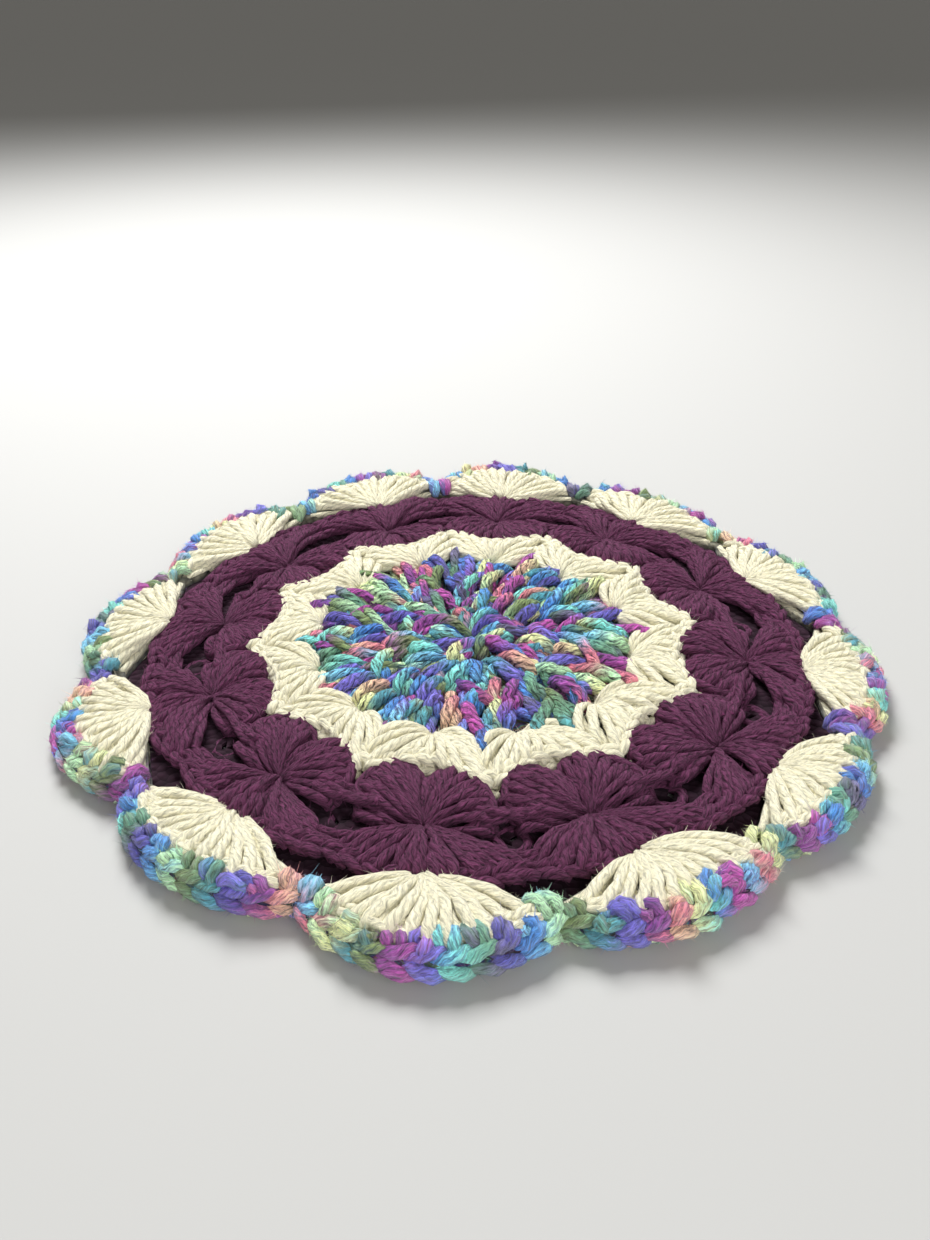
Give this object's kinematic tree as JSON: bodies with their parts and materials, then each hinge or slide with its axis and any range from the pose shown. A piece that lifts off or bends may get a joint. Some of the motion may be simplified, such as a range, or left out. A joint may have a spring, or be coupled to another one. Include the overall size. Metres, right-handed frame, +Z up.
{
  "type": "crocheted pot holder",
  "caption": "Round crocheted pot holder with a scalloped edge, worked in rounds of wheels and fans, lying flat.",
  "frame": {"origin": "bottom centre of the pad's box, on the surface it lies on", "axes": "+Z up through the thickness, -Y towards the near edge of the pictured view, +X to its right"},
  "size_m": [0.2272, 0.2314, 0.012],
  "materials": {
    "variegated_centre_yarn": "soft plied worsted yarn, space dyed in blue, turquoise, mint, olive, violet and pink",
    "cream_yarn": "soft plied worsted yarn, undyed cream",
    "purple_yarn": "soft plied worsted yarn, plum purple",
    "variegated_edging_yarn": "soft plied worsted yarn, space dyed in blue, turquoise, mint, olive, violet and pink"
  },
  "bodies": {
    "root": {"centre_rosette": "variegated_centre_yarn", "inner_cream_round": "cream_yarn", "purple_wheel_round": "purple_yarn", "outer_cream_round": "cream_yarn", "edging_round": "variegated_edging_yarn"}
  },
  "joints": []
}
